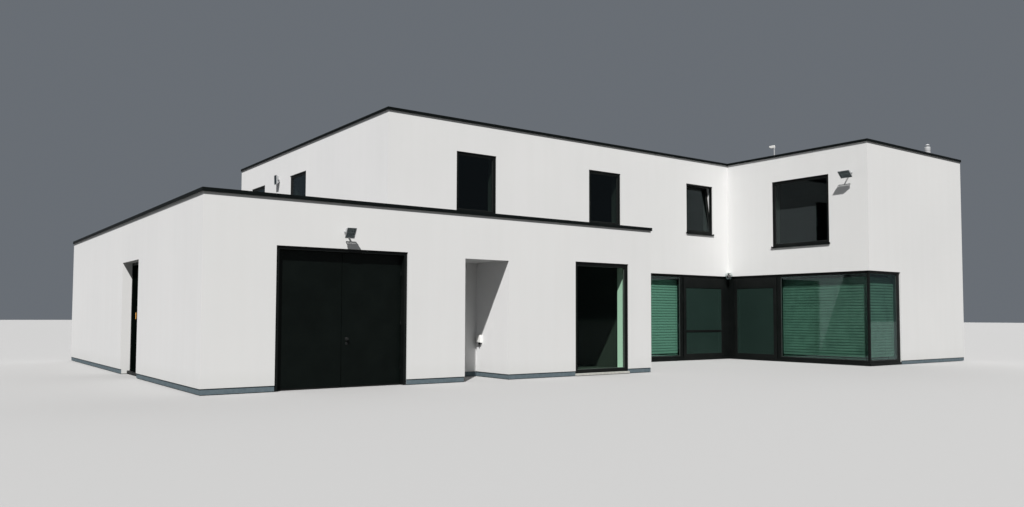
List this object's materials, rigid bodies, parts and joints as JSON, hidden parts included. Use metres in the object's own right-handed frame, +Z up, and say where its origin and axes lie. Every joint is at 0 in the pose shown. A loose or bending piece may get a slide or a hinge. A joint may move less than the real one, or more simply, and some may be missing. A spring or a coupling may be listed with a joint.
{
  "type": "detached house",
  "caption": "Modern white two-storey house with flat roofs, a low garage wing, dark frames, corner terrace glazing with venetian blinds, and doors that open.",
  "frame": {"origin": "on the ground under the middle of the house's bounding box", "axes": "+Z up; +X along the garden front, from the garage wing to the two-storey wing; +Y from the garden to the back"},
  "size_m": [22.554, 15.384, 6.763],
  "materials": {
    "concrete": "matt",
    "plinth": "matt",
    "render": "matt fine render",
    "roof_membrane": "matt",
    "coping_metal": "satin",
    "glass": "clear",
    "pale_stone": "matt",
    "blind_slats": "satin",
    "screen": "matt",
    "door_paint": "satin",
    "frame_metal": "satin",
    "lamp_body": "satin",
    "fittings": "satin",
    "white_cover": "satin"
  },
  "bodies": {
    "house": {"garage_floor": "concrete", "front_room_floor": "concrete", "main_floor": "concrete", "wing_floor": "concrete", "plinth_strips": "plinth", "garage_front_piers": "render", "garage_front_lintel": "render", "garage_side_piers": "render", "garage_side_lintel": "render", "garage_back_wall": "render", "front_room_end_wall": "render", "porch_walls": "render", "porch_ceiling": "render", "porch_wall_box": "white_cover", "terrace_piers": "render", "upper_front_wall": "render", "main_left_wall": "render", "main_back_wall": "render", "main_right_wall": "render", "wing_side_wall": "render", "wing_front_wall": "render", "upper_floor": "concrete", "upper_wing_floor": "concrete", "garage_roof_slab": "concrete", "front_room_roof_slab": "concrete", "main_roof_slab": "concrete", "wing_roof_slab": "concrete", "roof_covering": "roof_membrane", "main_coping": "coping_metal", "low_coping": "coping_metal", "window_frames": "frame_metal", "window_sashes": "frame_metal", "window_panes": "glass", "window_sills": "coping_metal", "stone_thresholds": "pale_stone", "terrace_frames": "frame_metal", "terrace_panes": "glass", "terrace_blinds": "blind_slats", "garage_door_frame": "frame_metal", "side_door_frame": "frame_metal", "front_door": "door_paint", "wall_lamps": "lamp_body", "roof_fittings": "fittings"},
    "garage_left_leaf": {"garage_left_leaf": "door_paint"},
    "garage_right_leaf": {"garage_right_leaf": "door_paint"},
    "side_left_leaf": {"side_left_leaf": "door_paint"},
    "side_right_leaf": {"side_right_leaf": "door_paint"},
    "garden_slider": {"garden_slider": "frame_metal", "garden_slider_pane": "glass"},
    "wing_slider": {"wing_slider": "frame_metal", "wing_slider_pane": "glass"},
    "garden_screen": {"garden_screen": "screen"},
    "wing_screen": {"wing_screen": "screen"}
  },
  "joints": [
    {"name": "garage_left_hinge", "type": "hinge", "parent": "house", "child": "garage_left_leaf", "pos_m": [-9.889, -5.849, 0.37], "axis": [0, 0, -1], "range_deg": [0, 90]},
    {"name": "garage_right_hinge", "type": "hinge", "parent": "house", "child": "garage_right_leaf", "pos_m": [-7.429, -5.849, 0.37], "axis": [0, 0, 1], "range_deg": [0, 90]},
    {"name": "side_left_hinge", "type": "hinge", "parent": "house", "child": "side_left_leaf", "pos_m": [-10.961, 0.145, 0.37], "axis": [0, 0, 1], "range_deg": [0, 90]},
    {"name": "side_right_hinge", "type": "hinge", "parent": "house", "child": "side_right_leaf", "pos_m": [-10.961, -1.271, 0.37], "axis": [0, 0, -1], "range_deg": [0, 90]},
    {"name": "garden_slider_track", "type": "slide", "parent": "house", "child": "garden_slider", "axis": [-1, 0, 0], "range_m": [0, 1.5]},
    {"name": "wing_slider_track", "type": "slide", "parent": "house", "child": "wing_slider", "axis": [0, -1, 0], "range_m": [0, 1.5]},
    {"name": "garden_screen_track", "type": "slide", "parent": "house", "child": "garden_screen", "axis": [-1, 0, 0], "range_m": [0, 1.5]},
    {"name": "wing_screen_track", "type": "slide", "parent": "house", "child": "wing_screen", "axis": [0, -1, 0], "range_m": [0, 1.5]}
  ]
}
